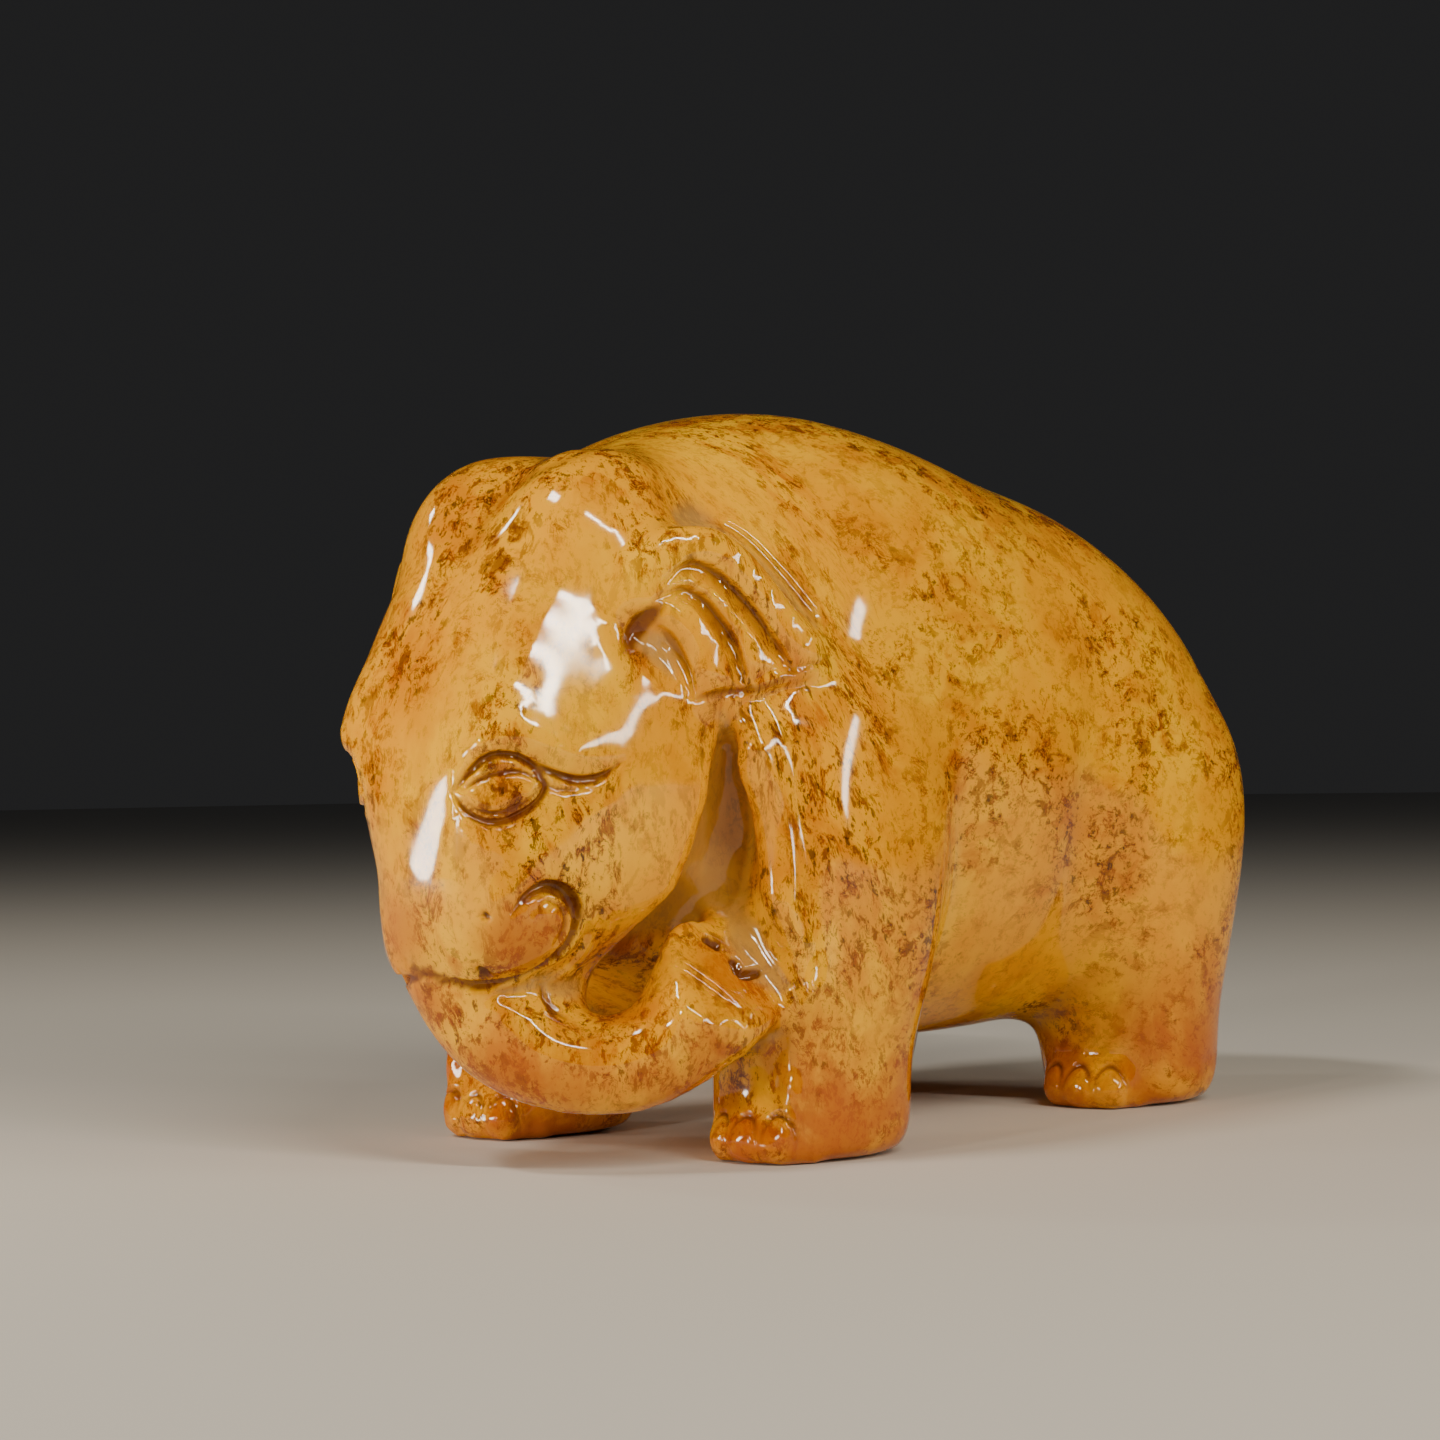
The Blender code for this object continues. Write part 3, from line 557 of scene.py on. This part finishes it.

# A painted glow makes some places orange, as if light shone through the stone, stain darkens the patches,
# the deep hollows are painted a duller tan, and dirt fills the cuts: the attribute, between which of its
# levels it comes in, its strength and its colour.
ATTRIBUTE_COLOURS = {
    "painted_glows": (0.0, 1.0, 0.75, FIRE_ORANGE),
    "patches": (0.1, 0.8, 0.75, RUSSET),
    "hollow": (0.35, 1.0, 0.75, HOLLOW_TAN),
    "groove": (0.15, 0.9, 0.85, RUSSET),
}
for name, (low, high, strength, colour) in ATTRIBUTE_COLOURS.items():
    level = add_node(jade, "ShaderNodeAttribute", {"attribute_name": name}).outputs["Fac"]
    share = add_node(jade, "ShaderNodeMapRange", {"interpolation_type": "SMOOTHSTEP"}, {
        "Value": level, "From Min": low, "From Max": high, "To Max": strength})
    if name == "patches":
        share = add_node(jade, "ShaderNodeMath", {"operation": "MULTIPLY"}, {
            0: share.outputs["Result"], 1: broken})
        share = share.outputs["Value"]
    else:
        share = share.outputs["Result"]
    base = add_node(jade, "ShaderNodeMix", {"data_type": "RGBA"}, {
        0: share, 6: base, 7: colour}).outputs[2]

# The polish is even and wet, and a little duller in patches from handling. The stone's grain is just felt
# under it, and is drawn coarser than it is so that it shows.
GRAIN_SIZE = 0.7 * MM
GRAIN_HEIGHT = 0.05 * MM
GRAIN_STRENGTH = 0.02
HANDLED_SIZE = 4 * MM
WET_ROUGHNESS = 0.05
HANDLED_ROUGHNESS = 0.09
felt = add_node(jade, "ShaderNodeTexNoise", links={
    "Vector": coords, "Scale": 1 / GRAIN_SIZE, "Detail": 4, "Roughness": 0.6})
bump = add_node(jade, "ShaderNodeBump", links={
    "Strength": GRAIN_STRENGTH, "Distance": GRAIN_HEIGHT, "Height": felt.outputs["Fac"]})
handled = add_node(jade, "ShaderNodeTexNoise", links={
    "Vector": coords, "Scale": 1 / HANDLED_SIZE, "Detail": 5, "Roughness": 0.6})
handled = add_node(jade, "ShaderNodeMapRange", links={
    "Value": handled.outputs["Fac"], "From Min": 0.3, "From Max": 0.7,
    "To Min": WET_ROUGHNESS, "To Max": HANDLED_ROUGHNESS})
jade.node_tree.links.new(base, shader.inputs["Base Color"])
jade.node_tree.links.new(bump.outputs["Normal"], shader.inputs["Normal"])
jade.node_tree.links.new(handled.outputs["Result"], shader.inputs["Roughness"])
shader.inputs["IOR"].default_value = JADE_IOR
shader.inputs["Specular IOR Level"].default_value = JADE_SHINE
shader.inputs["Subsurface Weight"].default_value = JADE_CLARITY
shader.inputs["Subsurface Radius"].default_value = LIGHT_COLOURS
shader.inputs["Subsurface Scale"].default_value = LIGHT_REACH

elephant.data.materials.clear()
elephant.data.materials.append(jade)
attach(elephant, "root")
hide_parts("elephant")

# The floor
# A pale studio table of smooth matt board.
BOARD = tone("CECBC4")
BOARD_REACH = 3.0
BOARD_ROUGHNESS = 0.8

bpy.ops.object.select_all(action="DESELECT")
bpy.ops.mesh.primitive_plane_add(size=2 * BOARD_REACH, location=(0, 0, 0))
floor = bpy.context.object
floor.name = "studio_floor"
board = bpy.data.materials.new("matt_board")
board.use_nodes = True
board.node_tree.nodes["Principled BSDF"].inputs["Base Color"].default_value = BOARD
board.node_tree.nodes["Principled BSDF"].inputs["Roughness"].default_value = BOARD_ROUGHNESS
floor.data.materials.append(board)

# The light
# Soft boxes stand round the table in a dim pale room: two long slanted ones on the elephant's left, and
# small ones in front, on its right and above. The low one stands close to its face. Each has its azimuth,
# elevation, distance, width and height, power, slant and colour.
ROOM = tone("D0D0D2")
ROOM_STRENGTH = 0.03
SOFT_BOXES = {
    "side_box": (68, 34, 0.42, (0.014, 0.28), 1.1, 49, "FFF3E0"),
    "far_side_box": (101, 14, 0.42, (0.020, 0.27), 0.6, -53, "FFF3E0"),
    "front_box": (4, 13, 0.42, (0.030, 0.040), 0.4, 0, "FFF3E0"),
    "low_box": (-31, -4.8, 0.123, (0.012, 0.038), 0.065, -48, "FFF3E0"),
    "left_box": (-72, 36, 0.45, (0.035, 0.035), 0.15, 0, "FFF3E0"),
    "top_box": (-17, 57, 0.50, (0.12, 0.045), 0.9, 0, "FFF6EA"),
    "leg_box": (-14, 0, 0.42, (0.060, 0.040), 0.30, 0, "FFF3E0"),
}
AIM_AT = Vector((0, -8, 24)) * MM

room = bpy.data.worlds.new("studio_room")
bpy.context.scene.world = room
room.use_nodes = True
room.node_tree.nodes["Background"].inputs["Color"].default_value = ROOM
room.node_tree.nodes["Background"].inputs["Strength"].default_value = ROOM_STRENGTH
for name, (azimuth, elevation, distance, size, power, lean, warmth) in SOFT_BOXES.items():
    box = bpy.data.objects.new(name, bpy.data.lights.new(name, "AREA"))
    bpy.context.scene.collection.objects.link(box)
    turn, rise = math.radians(azimuth), math.radians(elevation)
    away = Vector((math.sin(turn) * math.cos(rise), -math.cos(turn) * math.cos(rise), math.sin(rise)))
    box.location = AIM_AT + away * distance
    leaned = Quaternion((0, 0, 1), math.radians(lean))
    box.rotation_euler = ((-away).to_track_quat("-Z", "Y") @ leaned).to_euler()
    box.data.shape = "RECTANGLE"
    box.data.size, box.data.size_y = size
    box.data.energy = power
    box.data.color = tone(warmth)[:3]
    box.visible_camera = False
